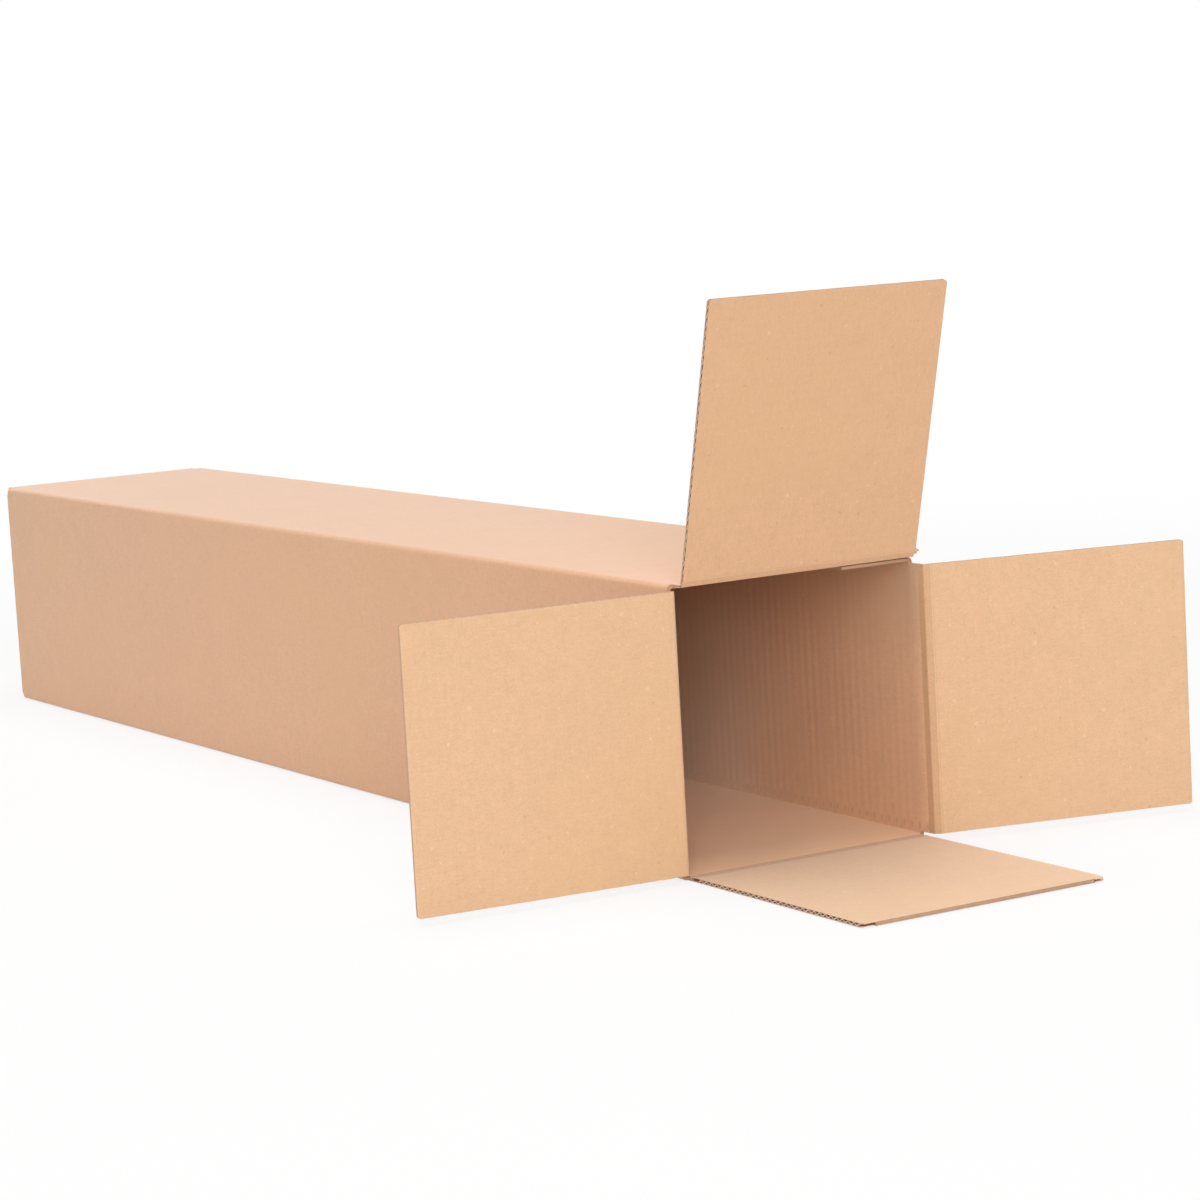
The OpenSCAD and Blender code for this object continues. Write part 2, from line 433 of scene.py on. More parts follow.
class Finish:
    """A material that is being made."""

    def __init__(self, name, flat=False):
        self.flat = flat
        self.material = bpy.data.materials.new(name)
        self.material.use_nodes = True
        self.tree = self.material.node_tree
        self.tree.nodes.clear()

    def node(self, kind, settings=None, sockets=None, out=0):
        """Adds a node: its settings first, then the values or links of its sockets."""
        made = self.tree.nodes.new(kind)
        for name, value in (settings or {}).items():
            setattr(made, name, value)
        for name, value in (sockets or {}).items():
            if isinstance(value, Socket):
                self.tree.links.new(value.link, made.inputs[name])
            else:
                made.inputs[name].default_value = value
        return Socket(self, made.outputs[out]) if made.outputs else None

    def math(self, operation, a, b=0.0):
        return self.node("ShaderNodeMath", {"operation": operation}, {0: a, 1: b})

    def vector(self, operation, a, b=(0, 0, 0)):
        return self.node("ShaderNodeVectorMath", {"operation": operation}, {0: a, 1: b})

    def combine(self, x, y, z):
        return self.node("ShaderNodeCombineXYZ", None, {"X": x, "Y": y, "Z": z})

    def part(self, vector, axis):
        return self.node("ShaderNodeSeparateXYZ", None, {"Vector": vector}, axis)

    def mix(self, factor, a, b):
        settings = {"data_type": "RGBA", "clamp_factor": True}
        return self.node("ShaderNodeMix", settings, {0: factor, 6: a, 7: b}, 2)

    def ramp(self, value, low, high, start=0.0, end=1.0):
        """Turns low to high into start to end, with soft ends."""
        return self.node(
            "ShaderNodeMapRange", {"interpolation_type": "SMOOTHSTEP", "clamp": True},
            {"Value": value, "From Min": low, "From Max": high, "To Min": start, "To Max": end},
        )

    def noise(self, at, size, detail=2.0, roughness=0.5, shift=None, stretch=None, out="Fac"):
        """Noise with features of about size, in the units of the coordinates."""
        if shift:
            at = self.vector("ADD", at, shift)
        if stretch:
            at = self.vector("MULTIPLY", at, stretch)
        return self.node(
            "ShaderNodeTexNoise", None,
            {"Vector": at, "Scale": 1 / size, "Detail": detail, "Roughness": roughness}, out,
        )

    def flecks(self, at, cell, radius, share, soft, shift=None):
        """A mask of small irregular flecks, in some of the cells of that size."""
        ripple, bend, solid_cell = 1.3, 2.2, 0.6
        if shift:
            at = self.vector("ADD", at, shift)
        wobble = self.vector("SUBTRACT", self.noise(at, radius * ripple, 1, out="Color"), (0.5,) * 3)
        wobble = self.vector("MULTIPLY", wobble, (radius * bend,) * 3)
        if not self.flat:
            cell *= solid_cell
        cells = {"voronoi_dimensions": "2D" if self.flat else "3D"}
        voronoi = {"Vector": self.vector("ADD", at, wobble), "Scale": 1 / cell, "Randomness": 0.95}
        chance = self.node("ShaderNodeTexVoronoi", cells, voronoi, "Color")
        away = self.node("ShaderNodeTexVoronoi", cells, voronoi, "Distance")
        size = (self.part(chance, "Y") * 1.1 + 0.6) * (radius / cell)
        spot = self.ramp(away - size, -soft * radius / cell, 0.0, 1.0, 0.0)
        return spot * (self.part(chance, "X") < share)

    def surface(self, base, rough, height=None, sheen=0.35, specular=0.4, soft=0.5):
        """Paper: a rough surface whose fine fibres catch a little white light."""
        sockets = {
            "Base Color": base, "Roughness": rough, "Specular IOR Level": specular,
            "Sheen Weight": sheen, "Sheen Roughness": soft,
        }
        if height is not None:
            sockets["Normal"] = self.node(
                "ShaderNodeBump", None, {"Strength": 1.0, "Distance": MM, "Height": height}
            )
        shader = self.node("ShaderNodeBsdfPrincipled", None, sockets)
        self.node("ShaderNodeOutputMaterial", None, {"Surface": shader})
        return self.material


def shade(rgb, factor=1.0):
    """The colour, lighter or darker, with the fourth value that a socket takes."""
    return tuple(min(1.0, c * factor) for c in rgb) + (1.0,)


def tinted(rgb, tint):
    """The colour with its red, green and blue each made stronger or weaker."""
    return tuple(min(1.0, a * b) for a, b in zip(rgb, tint))


def in_mm(finish, source):
    """Object coordinates, or the piece's own map, in millimetres."""
    at = finish.node("ShaderNodeTexCoord", None, None, source)
    return finish.vector("MULTIPLY", at, (1 / MM,) * 3)


def paper_place(finish, mapped):
    """Coordinates in millimetres: X across the flutes, Y along them."""
    if mapped:
        return in_mm(finish, "UV")
    at = in_mm(finish, "Object")
    return finish.combine(finish.part(at, "Y"), finish.part(at, "X"), finish.part(at, "Z"))


def weighed(grain, weights):
    """Adds up the noises by their weights, each about its middle."""
    return sum((grain[kind] - 0.5) * weight for kind, weight in weights.items())


def from_folds(f, at, m):
    """Distance in millimetres from the nearest long fold, on the inside of the walls."""
    z = f.part(at, "Z")
    height = f.math("MINIMUM", z - m.board / MM, m.inner_top / MM - z)
    aside = m.inner_half_w / MM - f.math("ABSOLUTE", f.part(at, "Y"))
    return f.math("MAXIMUM", height, 0.0) + f.math("MAXIMUM", aside, 0.0)


def fold_crush_and_shade(f, at, flute, m):
    """Masks along the long folds: the strip that is crushed, and the dots of painted shade at the crushed
    flutes.
    """
    edge = from_folds(f, at, m)
    shade_dots = f.ramp(flute, 0.2, 0.95) * f.ramp(edge, 1.0, 2.4) * f.ramp(edge, 5.0, 3.4)
    crushed = f.ramp(edge, 1.2, 5.5, 1.0, 0.0)
    return crushed, shade_dots


def paint_inside_light_and_shade(f, at, rgb, base):
    """Paints light and shade on the inside of the walls: painted light far in and on the bottom wall, and
    painted shade towards the top.
    """
    for axis, reach, share, tint in PAINTED_INSIDE_LIGHT:
        base = f.mix(f.ramp(f.part(at, axis), *reach) * share, base, shade(tinted(rgb, tint)))
    return base


def kraft(name, rgb, washboard, ribs, mapped=False, flecks=1.0, walls=False, gloss=(0.35, 0.4)):
    """Kraft facing: fine fibre mottle, streaks, light and dark flecks, and the flutes behind it, whose ribs
    get painted shade; on the walls' inside also painted light and shade.
    """
    f = Finish(name, mapped)
    m = sizes_now()
    at = paper_place(f, mapped)
    across = f.part(at, "X")
    grain = {kind: f.noise(at, **settings) for kind, settings in PAPER_GRAIN.items()}
    pitch = (m.ribs if walls else m.pitch) / MM
    flute = f.math("COSINE", across * (2 * math.pi / pitch))
    uneven = f.ramp(f.noise(at, **RIB_PATCHES), 0.34, 0.60)
    rise = flute * washboard * (uneven * 0.7 + 0.3)
    if walls:
        ribs = f.ramp(across, *RIB_SHADE_REACH, RIB_SHADE_WEAKEST, 1.0) * ribs
    # The ribs are painted light and shade of the flute ridges, put into the paper's tone.
    tone = weighed(grain, GRAIN_TONE) + flute * ((uneven * 1.3 + 0.2) * ribs)
    if walls:
        # Painted shade in dots along the long folds, one at each flute.
        crushed, shade_dots = fold_crush_and_shade(f, at, flute, m)
        tone = tone - shade_dots * DOTS_SHADE
        rise = rise * (1.0 + crushed * CRUSHED_RISE)
    base = f.mix(tone + 0.5, shade(rgb, DARKEST), shade(rgb, LIGHTEST))
    # On the walls' inside: painted light far in and on the bottom wall, painted shade towards the top.
    if walls:
        base = paint_inside_light_and_shade(f, at, rgb, base)
    yellow = f.ramp(f.noise(at, **YELLOW_PATCHES), 0.35, 0.7)
    base = f.mix(yellow * YELLOW_SHARE, base, shade(tinted(rgb, YELLOW_TINT)))
    for kind in FLECKS.values():
        spots = sum(f.flecks(at, **size) for size in kind["sizes"])
        base = f.mix(spots * (kind["strength"] * flecks), base, shade(tinted(rgb, kind["tint"])))
    height = weighed(grain, GRAIN_HEIGHT) + rise
    rough = PAPER_ROUGH + (grain["mottle"] - 0.5) * 0.2
    return f.surface(base, rough, height, *gloss)


def cut_edge(name, rgb):
    """Raw cut edge of the board: torn fibres, browner than the facings."""
    f = Finish(name)
    at = in_mm(f, "Object")
    fibre = f.noise(at, size=0.35, detail=3, roughness=0.7)
    patch = f.noise(at, size=4.0, detail=2)
    base = f.mix((fibre - 0.5) * 0.9 + (patch - 0.5) * 0.6 + 0.5, shade(rgb, 0.72), shade(rgb, 1.25))
    return f.surface(base, 0.9 + (fibre - 0.5) * 0.1, (fibre - 0.5) * 0.08)


def fluting(name, rgb):
    """Thin paper of the waved sheet, or its cut edge."""
    f = Finish(name)
    fibre = f.noise(in_mm(f, "Object"), size=0.5, detail=3, roughness=0.6)
    base = f.mix(fibre, shade(rgb, 0.8), shade(rgb, 1.2))
    return f.surface(base, 0.88 + (fibre - 0.5) * 0.1, (fibre - 0.5) * 0.03)


RAW_EDGES = {
    "board_edge": (cut_edge, "cut"),
    "fluting_paper": (fluting, "fluting"),
    "fluting_edge": (fluting, "wave_cut"),
}


def finish_named(name):
    """Gives a material of the box, and makes it the first time."""
    if name in bpy.data.materials:
        return bpy.data.materials[name]
    colours = bpy.context.scene.box_finishes
    if name in RAW_EDGES:
        make, picked = RAW_EDGES[name]
        return make(name, tuple(getattr(colours, picked)))
    paper = dict(PAPERS[name])
    rgb = tuple(getattr(colours, paper.pop("colour")))
    return kraft(name, tinted(rgb, paper.pop("tint", (1, 1, 1))), **paper)


def worn_tip(piece, z, towards, long, wide):
    """The bottom flap's front corners: the lower facing is torn at one, and the other is crushed."""
    torn_back, crushed_back, crushed_depth = 0.0016, 0.0012, 0.00028
    left, right = wide / 2 - TORN_W, CRUSHED_W - wide / 2
    for y in (left - CORNER_STEP, left, right + CORNER_STEP, right):
        cut(piece, (0, y, z), (0, 1, 0))
    if towards < 0:
        pick(piece, "VERT", lambda p, v: p.y > left - CORNER_STEP / 2 and p.x > long - torn_back)
        move(x=-torn_back)
    pick(piece, "VERT", lambda p, v: p.y < right + CORNER_STEP / 2 and p.x > long - crushed_back)
    move(z=towards * crushed_depth)


def press_tip(piece, z, depth, long):
    """Bends the facing towards the flutes, in steps, along its cut tip."""
    reach, tip_reach = 0.00004, 0.00015
    for back, _ in PRESSED_TIP[:-1]:
        cut(piece, (long - back, 0, z), (1, 0, 0))
    for back, share in PRESSED_TIP[1:]:
        low, high = long - back - (reach if back else tip_reach), long - back + reach
        pick(piece, "VERT", lambda p, v: low < p.x < high)
        move(z=depth * share)


def add_heel(piece, m, z, wide, heel):
    """Draws the small heel beside the fold line, with a rounded corner."""
    cut(piece, (m.heel_l, 0, z), (1, 0, 0))
    pick(piece, "EDGE", lambda p, e: near(p.y, wide / 2) and p.x < m.heel_l)
    extrude(y=heel)
    pick(piece, "VERT", lambda p, v: near(p.y, wide / 2 + heel) and near(p.x, m.heel_l))
    bpy.ops.mesh.bevel(offset=heel * 0.8, segments=4, affect="VERTICES")


def facing(m, side, inner, long, wide, paper_start):
    """One flat facing of a flap's board, with small round corners at its tip."""
    name = side + ("_flap_inside" if inner else "_flap_outside")
    paper = "kraft_" + side + "_flap" if inner else "kraft_flap_outside"
    inner_gap, outer_gap = 0.0001, 0.0003
    root = m.board + inner_gap if inner else outer_gap
    z = -m.board if inner else 0.0
    towards = 1 if inner else -1
    piece = grid(name, (root, -wide / 2, z), (long, wide / 2, z))
    pick(piece, "VERT", lambda p, v: near(p.x, long))
    bpy.ops.mesh.bevel(offset=m.tip_r, segments=5, affect="VERTICES")
    if side == "top":
        add_heel(piece, m, z, wide, m.heel_w)
    press_tip(piece, z, towards * PRESSED_DEPTH[side], long)
    if side == "bottom":
        worn_tip(piece, z, towards, long, wide)
    if inner:
        pick(piece, "FACE", lambda p, f: True)
        bpy.ops.mesh.flip_normals()
    fresh()
    paper_map(piece, long, wide, paper_start)
    wear(piece, finish_named(paper), finish_named("board_edge"))
    thicken(piece, m.facing, material_offset_rim=1)
    return piece


def wave_sheet(name, m, first, long, wide):
    """The waved sheet between the facings: rows of vertices pushed up and down, then smoothed."""
    waves = max(1, int((long - first) / m.pitch))
    end = first + waves * m.pitch
    middle = -m.board / 2
    piece = grid(name, (first, -wide / 2, middle), (end, wide / 2, middle), waves * 4, 1)
    before_smoothing = 1.5
    height = before_smoothing * (m.board / 2 - m.facing - m.wave / 2 + HAIR)
    for phase, push in ((1, height), (3, -height)):
        pick(piece, "VERT", lambda p, v: round((p.x - first) / m.pitch * 4) % 4 == phase)
        move(z=push)
    modify(piece, "SUBSURF", levels=2, render_levels=2)
    wear(piece, finish_named("fluting_paper"), finish_named("fluting_edge"))
    thicken(piece, m.wave, 0.0, material_offset_rim=1)
    return piece


def crushed_core(name, m, side, long, wide):
    """The flutes crushed flat at a flap's cut tip."""
    fresh()
    depth, inset, round_r = 0.0011, 0.00008, 0.00012
    low, high, gap = m.tip_r - wide / 2, wide / 2 - m.tip_r, 0.00042
    if side == "bottom":
        low = CRUSHED_W + CORNER_STEP - wide / 2
        high = wide / 2 - TORN_W - CORNER_STEP
        gap = 0.00018
    bpy.ops.mesh.primitive_cube_add(size=1, enter_editmode=True)
    piece = bpy.context.object
    piece.name = name
    piece.data.name = name
    bpy.ops.transform.resize(value=(depth, high - low, m.board - 2 * m.facing - gap))
    move(long - inset - depth / 2, (low + high) / 2, -m.board / 2)
    bpy.ops.mesh.select_all(action="SELECT")
    bpy.ops.mesh.bevel(offset=round_r, segments=2, affect="EDGES")
    fresh()
    return piece


def make_flap(m, side, number):
    """One open flap: two facings with the waved sheet between them."""
    long, wide = m.flap_l[side], m.flap_w[side]
    name = side + "_flap"
    flap_start, outside_start = 0.31, 0.15
    inner = facing(m, side, True, long, wide, flap_start * number)
    outer = facing(m, side, False, long, wide, flap_start * number + outside_start)
    tip_gap, side_gap = 0.0012, 0.00006
    waves = wave_sheet(name + "_flutes", m, m.board + m.crush, long - tip_gap, wide - side_gap)
    core = crushed_core(name + "_tip", m, side, long, wide)
    wear(core, finish_named("board_edge"))
    join(waves, core)
    for piece, slot in ((inner, "card_inside"), (outer, "card_outside"), (waves, "card_inside")):
        place(piece, on_wall(m, side))
        smooth(piece)
        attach(piece, name)
    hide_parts(name)


def face_towards(piece, test, direction):
    """Turns the whole sheet over if the first face that passes the test looks the wrong way."""
    bpy.ops.mesh.select_all(action="SELECT")
    bpy.ops.mesh.remove_doubles(threshold=1e-6)
    bpy.ops.mesh.normals_make_consistent(inside=False)
    mesh = bmesh.from_edit_mesh(piece.data)
    face = next(face for face in mesh.faces if test(face.calc_center_median(), face))
    if face.normal.dot(Vector(direction)) < 0:
        bpy.ops.mesh.flip_normals()


def spin(piece, test, centre, turn):
    """Sweeps the edges that pass the test about a line along Y, by a turn that lifts X towards -Z."""
    pick(piece, "EDGE", test)
    bpy.ops.mesh.spin(steps=BEND_STEPS, angle=-turn, center=centre, axis=(0, 1, 0))


def fold_strip(name, wide, back, turn, ahead=()):
    """Draws a facing along a fold: the points up to the fold line, the bend, then those beyond it."""
    (start_x, start_z), (next_x, next_z) = back[:2]
    middle_z = (start_z + next_z) / 2
    piece = grid(name, (start_x, -wide / 2, start_z), (next_x, wide / 2, next_z))
    pick(piece, "EDGE", lambda p, e: near(p.x, start_x))
    move(z=start_z - middle_z)
    pick(piece, "EDGE", lambda p, e: near(p.x, next_x))
    move(z=next_z - middle_z)
    last = Vector((next_x, 0, next_z))

    def at_last(p, e):
        return near(p.x, last.x) and near(p.z, last.z)

    for x, z in back[2:]:
        pick(piece, "EDGE", at_last)
        extrude(x=x - last.x, z=z - last.z)
        last = Vector((x, 0, z))
    if turn > FLAT:
        spin(piece, at_last, (0, 0, 0), -turn)
    bend = Matrix.Rotation(-turn, 4, "Y")
    last = bend @ last
    for x, z in ahead:
        point = bend @ Vector((x, 0, z))
        pick(piece, "EDGE", at_last)
        extrude(x=point.x - last.x, z=point.z - last.z)
        last = point
    face_towards(piece, lambda p, f: p.x < next_x, (0, 0, -1))
    fresh()
    return piece


def score_depth(m, side, away):
    """Depth of the inner face at a distance from the fold line, where the score presses it in."""
    run = m.slot_end + m.level[side]
    return m.board - (m.board - m.ridge) * max(0.0, 1 - away / run)


def bend_fold(m, side):
    """The inner facing carried over a pressed score, drawn bent to its flap's opening."""
    wide, turn, lap = m.flap_w[side] - HAIR, m.open[side], 0.0009
    reach, under = m.board + lap, -m.board - HAIR
    if turn > FLAT:
        slope = 0.0006
        back = [(-reach, -score_depth(m, side, reach) - HAIR), (0, -m.ridge)]
        ahead = [(m.crush, -m.ridge - slope), (reach, under)]
    else:
        half, dip = 0.0007, 0.0003
        back = [(-reach, under), (-half, -m.board), (0, -m.board + dip)]
        ahead = [(half, -m.board), (reach, under)]
    piece = fold_strip(side + "_fold", wide, back, turn, ahead)
    thicken(piece, m.facing)
    wear(piece, finish_named("kraft_fold"))
    home = on_wall(m, side, False)
    place(piece, home)
    smooth(piece, FOLD_SMOOTH)
    middle = Matrix.Rotation(-turn / 2, 4, "Y") @ Vector((0, 0, -m.ridge))
    along = Matrix.Rotation(-turn / 2, 4, "Y") @ Vector((lap, 0, 0))
    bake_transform(piece)


def roll_fold(m, side):
    """A rolled fold in two halves, one on the wall and one on the flap."""
    wide, turn, lap = m.flap_w[side] - HAIR, m.open[side], 0.0006
    home = on_wall(m, side, False)
    reach = m.board + lap
    opened = Matrix.Rotation(-turn, 4, "Y")
    mirrored = opened @ Matrix.Rotation(math.pi, 4, "Z")
    halves = (
        ("wall", "box", 0.00003, home, home),
        ("flap", side + "_flap", 0.00001, home @ mirrored, home @ opened),
    )
    for half, body, proud, at, out in halves:
        depth = m.board + proud
        back = [(-reach, -depth), (-reach / 2, -depth), (0, -depth)]
        piece = fold_strip(side + "_fold_" + half, wide, back, turn / 2)
        thicken(piece, m.facing)
        wear(piece, finish_named("kraft_roll"))
        place(piece, at)
        smooth(piece, FOLD_SMOOTH)
        axis = tuple((out.to_3x3() @ Vector((1, 0, 0))).normalized())
        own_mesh(piece)
        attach(piece, body)


def folded_sheet(m):
    """Draws the sheet round its four long folds, from the top wall's cut edge to the glued strip."""
    front, back = m.slot_end - m.mid_y, m.far_y - m.mid_y
    tab_x = m.inner_half_w - m.tab_w
    piece = grid("box_walls", (-m.half_w, front, m.outer_h), (m.seam_start, back, m.outer_h))
    pick(piece, "EDGE", lambda p, e: near(p.x, -m.half_w))
    for step in (
        (0, 0, -m.outer_h), (m.outer_w, 0, 0), (0, 0, m.inner_top), (tab_x - m.half_w, 0, 0),
    ):
        extrude(*step)
    corners = [(-m.half_w, m.outer_h), (-m.half_w, 0), (m.half_w, 0), (m.half_w, m.inner_top)]
    pick(piece, "EDGE", lambda p, e: any(near(p.x, x) and near(p.z, z) for x, z in corners))
    bpy.ops.mesh.bevel(offset=m.fold_r, segments=6, affect="EDGES")
    return piece


def wall_fronts(m, piece):
    """Draws each wall out to its flap's fold line, between the slots."""
    front = m.slot_end - m.mid_y
    fronts = {
        "left": ("x", -m.half_w, "z", m.slot_half, m.outer_h - m.slot_half),
        "bottom": ("z", 0.0, "x", -m.half_w + m.slot_half, m.half_w - m.slot_half),
        "top": ("z", m.outer_h, "x", -m.half_w + m.slot_half, m.half_w - m.seam_slot),
        "right": ("x", m.half_w, "z", m.slot_half, m.inner_top - m.slot_half),
    }
    for side, (flat, at, across, low, high) in fronts.items():
        for edge in (low, high):
            point = {flat: at, across: edge}
            cut(
                piece, (point.get("x", 0), 0, point.get("z", 0)),
                (1, 0, 0) if across == "x" else (0, 0, 1),
                lambda p, f: near(getattr(p, flat), at, ON_PLANE),
            )
        pick(
            piece, "EDGE",
            lambda p, e: near(p.y, front) and near(getattr(p, flat), at) and low < getattr(p, across) < high,
        )
        extrude(y=-(m.slot_end + m.level[side]))
    slack = 0.001
    strip_x, strip_y = m.inner_half_w - m.tab_w - slack, front + m.tab_back

    def on_strip(p, f):
        return near(p.z, m.inner_top, ON_PLANE) and p.x > strip_x

    cut(piece, (0, strip_y, 0), (0, 1, 0), on_strip)
    pick(
        piece, "FACE",
        lambda p, f: near(p.z, m.inner_top, ON_PLANE) and p.y < strip_y and p.x < m.half_w - m.fold_r,
    )
    bpy.ops.mesh.delete(type="FACE")


def edit(piece):
    """Goes back into edit mode on a piece."""
    fresh()
    bpy.context.view_layer.objects.active = piece
    bpy.ops.object.mode_set(mode="EDIT")


def mitre_fronts(m, piece):
    """Slopes the wall's ends down to the inner face, as pressed scores are."""
    edit(piece)
    inner = {
        "left": ("x", -m.inner_half_w, -1, 0),
        "bottom": ("z", m.board, 0, 0),
        "top": ("z", m.inner_top, 0, 1),
        "right": ("x", m.inner_half_w, 1, 0),
    }
    for side, (flat, at, sunk_x, sunk_z) in inner.items():
        fold = -m.level[side] - m.mid_y
        pick(piece, "VERT", lambda p, v: near(p.y, fold) and near(getattr(p, flat), at, ON_PLANE))
        depth = m.board - score_depth(m, side, m.board)
        move(sunk_x * depth, m.board, sunk_z * depth)
    fresh()


def strip_end(m, piece):
    """Opens a thin gap over the glued strip's crushed end."""
    edit(piece)
    gap_h, gap_l = 0.0005, 0.002
    end = m.slot_end - m.mid_y + m.tab_back
    middle, split = m.inner_top - m.board / 2, m.inner_top - gap_h

    def on_end(p, f):
        on_board = near(p.z, middle, m.board / 2) and p.x < m.half_w - m.fold_r
        return on_board and near(p.y, end) and f.normal.y < -0.9

    cut(piece, (0, 0, split), (0, 0, 1), on_end)
    pick(piece, "FACE", lambda p, f: on_end(p, f) and p.z > split)
    extrude(y=gap_l)
    pick(piece, "FACE", lambda p, f: on_end(p, f) and p.z < split)
    piece.active_material_index = 1
    bpy.ops.object.material_slot_assign()
    fresh()


def make_walls(m):
    """The four walls and the glued strip, folded from one sheet."""
    piece = folded_sheet(m)
    wall_fronts(m, piece)
    pick(piece, "FACE", lambda p, f: True)
    bpy.ops.mesh.normals_make_consistent(inside=False)
    fresh()
    top = max(piece.data.polygons, key=lambda face: face.center.z + (face.area > 0.01))
    if top.normal.z < 0:
        edit(piece)
        bpy.ops.mesh.select_all(action="SELECT")
        bpy.ops.mesh.flip_normals()
        fresh()
    wear(piece, *(finish_named(n) for n in ("kraft_outside", "kraft_inside", "board_edge")))
    thicken(piece, m.board, material_offset=1, material_offset_rim=2)
    mitre_fronts(m, piece)
    strip_end(m, piece)
    smooth(piece)
    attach(piece, "box")
    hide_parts("box_body")


def make_seam(m):
    """The top wall's cut edge at the glued joint, whose flutes show all along the box."""
    front, back = m.slot_end - m.mid_y, m.far_y - m.mid_y
    middle = (m.seam_start + m.seam_x) / 2
    pieces = []
    for part, depth in (("outside", 0.0), ("inside", m.board - m.facing)):
        z = m.outer_h - depth
        piece = grid("seam_" + part, (m.seam_start, front, z), (m.seam_x, back, z))
        fresh()
        thicken(piece, m.facing)
        wear(piece, finish_named("kraft_" + part))
        pieces.append(piece)
    waves = wave_sheet("seam_flutes", m, 0.0, back - front, m.seam_x - m.seam_start)
    turned = Matrix.Translation((middle, front, m.outer_h)) @ Matrix.Rotation(math.pi / 2, 4, "Z")
    place(waves, turned)
    for piece in pieces + [waves]:
        smooth(piece)
        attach(piece, "box")


def make_far_flap(m, side, layer):
    """A closed flap at the far end: it turns round the end of its wall and lies flat."""
    long, wide = m.flap_l[side], m.flap_w[side]
    reach = (layer + 1) * m.board
    name = "far_" + side + "_flap"
    root, sink = -0.0012, 0.0003
    bend_x = reach - m.board
    pieces = []
    for part, depth, into in (("outside", 0.0, -sink), ("inside", m.board - m.facing, sink)):
        piece = grid(name + "_" + part, (root, -wide / 2, -depth), (bend_x, wide / 2, -depth))
        pick(piece, "EDGE", lambda p, e: near(p.x, root))
        move(z=into)
        spin(piece, lambda p, e: near(p.x, bend_x), (bend_x, 0, -m.board), math.pi / 2)
        pick(piece, "EDGE", lambda p, e: near(p.x, reach - depth) and near(p.z, -m.board))
        extrude(z=m.board - long)
        face_towards(piece, lambda p, f: p.x < bend_x, (0, 0, 1))
        fresh()
        thicken(piece, m.facing)
        wear(piece, finish_named("kraft_" + part))
        pieces.append(piece)
    outer, inner = pieces
    tip_gap, side_gap = 0.0004, 0.00006
    waves = wave_sheet(name + "_flutes", m, m.board + m.crush, long - tip_gap, wide - side_gap)
    down = Matrix.Translation((reach, 0, 0)) @ Matrix.Rotation(math.pi / 2, 4, "Y")
    place(waves, down)
    for piece, slot in ((outer, "card_outside"), (inner, "card_inside"), (waves, "card_inside")):
        place(piece, at_far_end(m, side))
        smooth(piece)
        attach(piece, "box")


class BOX_OT_walls(bpy.types.Operator):
    """Folds the walls and the glued strip"""

    bl_idname = "box.walls"
    bl_label = "Fold the walls"

    def execute(self, context):
        make_walls(sizes_now())
        make_seam(sizes_now())
        return {"FINISHED"}


class BOX_OT_far_end(bpy.types.Operator):
    """Closes the far end with its four flaps"""

    bl_idname = "box.far_end"
    bl_label = "Close the far end"

    def execute(self, context):
        for layer, side in enumerate(FLAP_ORDER):
            make_far_flap(sizes_now(), side, layer)
        return {"FINISHED"}


class BOX_OT_flaps(bpy.types.Operator):
    """Makes the four open flaps at the mouth"""

    bl_idname = "box.flaps"
    bl_label = "Add the open flaps"

    def execute(self, context):
        for number, side in enumerate(FLAP_ORDER):
            make_flap(sizes_now(), side, number)
        return {"FINISHED"}


class BOX_OT_folds(bpy.types.Operator):
    """Carries the inner facing round the open flaps' fold lines"""

    bl_idname = "box.folds"
    bl_label = "Add the folds"

    def execute(self, context):
        m = sizes_now()
        for side in ("bottom", "top", "right"):
            bend_fold(m, side)
        roll_fold(m, "left")
        return {"FINISHED"}


class BOX_OT_stage(bpy.types.Operator):
    """Adds the floor, the lamps and the camera"""

    bl_idname = "box.stage"
    bl_label = "Set the studio"

    def execute(self, context):
        make_floor(context.scene.box_finishes)
        make_world()
        make_lamps()
        make_camera()
        context.scene.view_settings.view_transform = "Standard"
        return {"FINISHED"}


def make_floor(finishes):
    """A plain pale floor that is white round the box and keeps its soft shadow."""
    half, under = 6, -0.0003
    floor = grid("floor", (-half, -half, under), (half, half, under))
    fresh()
    f = Finish("pale_floor")
    at = f.node("ShaderNodeTexCoord", None, None, "Object")
    away = f.node("ShaderNodeVectorMath", {"operation": "LENGTH"}, {0: at}, "Value")
    seen = f.node("ShaderNodeLightPath", None, None, "Is Camera Ray")
    glossy = f.node("ShaderNodeLightPath", None, None, "Is Glossy Ray")
    through = f.node("ShaderNodeLightPath", None, None, "Is Transmission Ray")
    seen = f.math("MINIMUM", seen + glossy + through, 1.0)
    shadow_r, white_r, shadow_white = 0.45, 1.1, 0.78
    white = f.ramp(away, shadow_r, white_r, shadow_white, 1.0)
    card = f.node("ShaderNodeBsdfDiffuse", None, {"Color": tuple(finishes.floor) + (1,)})
    glow = f.node("ShaderNodeEmission", None, {"Color": (1, 1, 1, 1), "Strength": 1.0})
    both = f.node("ShaderNodeMixShader", None, {0: seen * white, 1: card, 2: glow})
    f.node("ShaderNodeOutputMaterial", None, {"Surface": both})
    wear(floor, f.material)


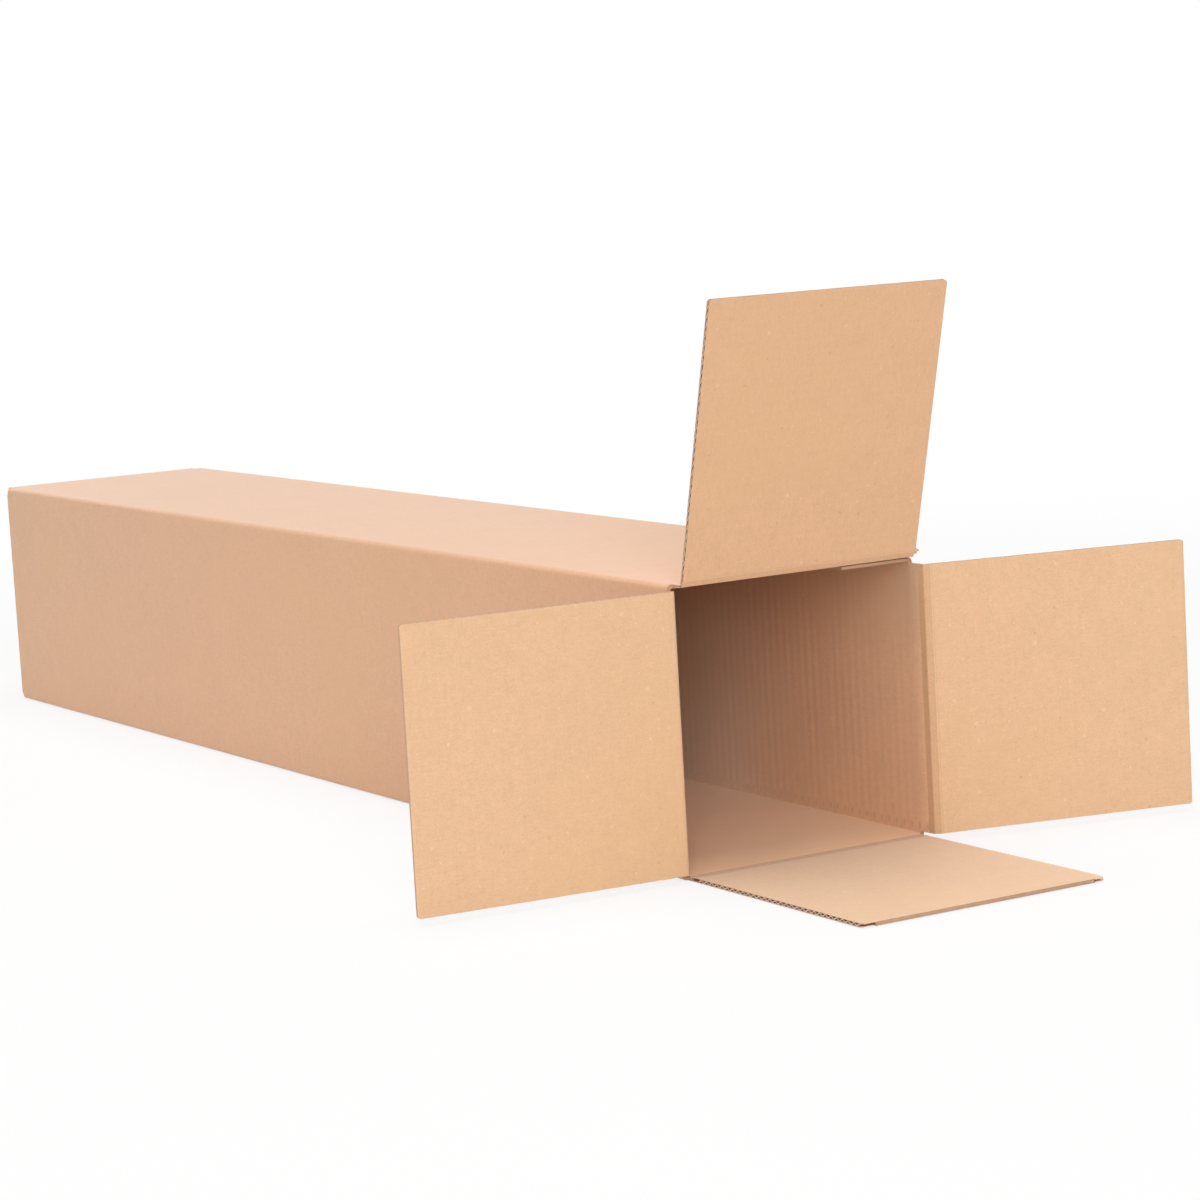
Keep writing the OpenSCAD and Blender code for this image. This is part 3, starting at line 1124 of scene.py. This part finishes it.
def make_world():
    """White behind everything, and a soft even light from all round."""
    world = bpy.data.worlds.new("studio")
    bpy.context.scene.world = world
    world.use_nodes = True
    nodes, links = world.node_tree.nodes, world.node_tree.links
    nodes.clear()
    path = nodes.new("ShaderNodeLightPath")
    room, seen = nodes.new("ShaderNodeBackground"), nodes.new("ShaderNodeBackground")
    room.inputs["Color"].default_value = (1.0, 0.985, 0.97, 1)
    room.inputs["Strength"].default_value = ROOM_LIGHT
    seen.inputs["Color"].default_value = (1, 1, 1, 1)
    seen.inputs["Strength"].default_value = 1.0
    either = nodes.new("ShaderNodeMath")
    either.operation = "MAXIMUM"
    links.new(path.outputs["Is Camera Ray"], either.inputs[0])
    links.new(path.outputs["Is Transmission Ray"], either.inputs[1])
    any_of = nodes.new("ShaderNodeMath")
    any_of.operation = "MAXIMUM"
    links.new(either.outputs[0], any_of.inputs[0])
    links.new(path.outputs["Is Glossy Ray"], any_of.inputs[1])
    mixed = nodes.new("ShaderNodeMixShader")
    links.new(any_of.outputs[0], mixed.inputs[0])
    links.new(room.outputs[0], mixed.inputs[1])
    links.new(seen.outputs[0], mixed.inputs[2])
    links.new(mixed.outputs[0], nodes.new("ShaderNodeOutputWorld").inputs["Surface"])


def make_lamps():
    """Five large soft lamps: above, high in front, at the left, low in front and behind."""
    for name, at, size, power in LAMPS:
        fresh()
        bpy.ops.object.light_add(type="AREA", location=at)
        lamp = bpy.context.object
        lamp.name = name
        lamp.data.shape = "SQUARE"
        lamp.data.size = size
        lamp.data.energy = power
        lamp.rotation_euler = (Vector(LAMPS_AIM) - Vector(at)).to_track_quat("-Z", "Y").to_euler()


def make_camera():
    """The photograph's viewing angle."""
    yaw, pitch, roll = (math.radians(a) for a in CAMERA_TURNS)
    ahead = Vector((math.sin(yaw) * math.cos(pitch), math.cos(yaw) * math.cos(pitch), math.sin(pitch)))
    right = Vector((math.cos(yaw), -math.sin(yaw), 0))
    down = ahead.cross(right)
    rolled = right * math.cos(roll) + down * math.sin(roll)
    below = down * math.cos(roll) - right * math.sin(roll)
    fresh()
    bpy.ops.object.camera_add(location=CAMERA_AT)
    camera = bpy.context.object
    axes = Matrix((rolled, -below, -ahead)).transposed()
    camera.rotation_euler = axes.to_euler()
    camera.data.lens = CAMERA_LENS
    camera.data.sensor_width = 36
    bpy.context.scene.camera = camera


class BOX_PT_panel(bpy.types.Panel):
    """Lists the steps and the sizes"""

    bl_idname = "BOX_PT_panel"
    bl_label = "Open Shipping Box"
    bl_space_type = "VIEW_3D"
    bl_region_type = "UI"
    bl_category = "Box"

    def draw(self, context):
        for operator in OPERATORS:
            self.layout.operator(operator.bl_idname)
        for group in (context.scene.box_sizes, context.scene.box_finishes):
            for name in group.__annotations__:
                self.layout.prop(group, name)


OPERATORS = (BOX_OT_walls, BOX_OT_far_end, BOX_OT_flaps, BOX_OT_folds, BOX_OT_stage)
CLASSES = (BoxSizes, BoxFinishes) + OPERATORS + (BOX_PT_panel,)


def register():
    for item in CLASSES:
        bpy.utils.register_class(item)
    bpy.types.Scene.box_sizes = bpy.props.PointerProperty(type=BoxSizes)
    bpy.types.Scene.box_finishes = bpy.props.PointerProperty(type=BoxFinishes)


def unregister():
    del bpy.types.Scene.box_finishes
    del bpy.types.Scene.box_sizes
    for item in reversed(CLASSES):
        bpy.utils.unregister_class(item)


def main():
    register()
    bpy.ops.box.stage()
    bpy.ops.box.walls()
    bpy.ops.box.far_end()
    bpy.ops.box.flaps()
    bpy.ops.box.folds()


if __name__ == "__main__":
    main()
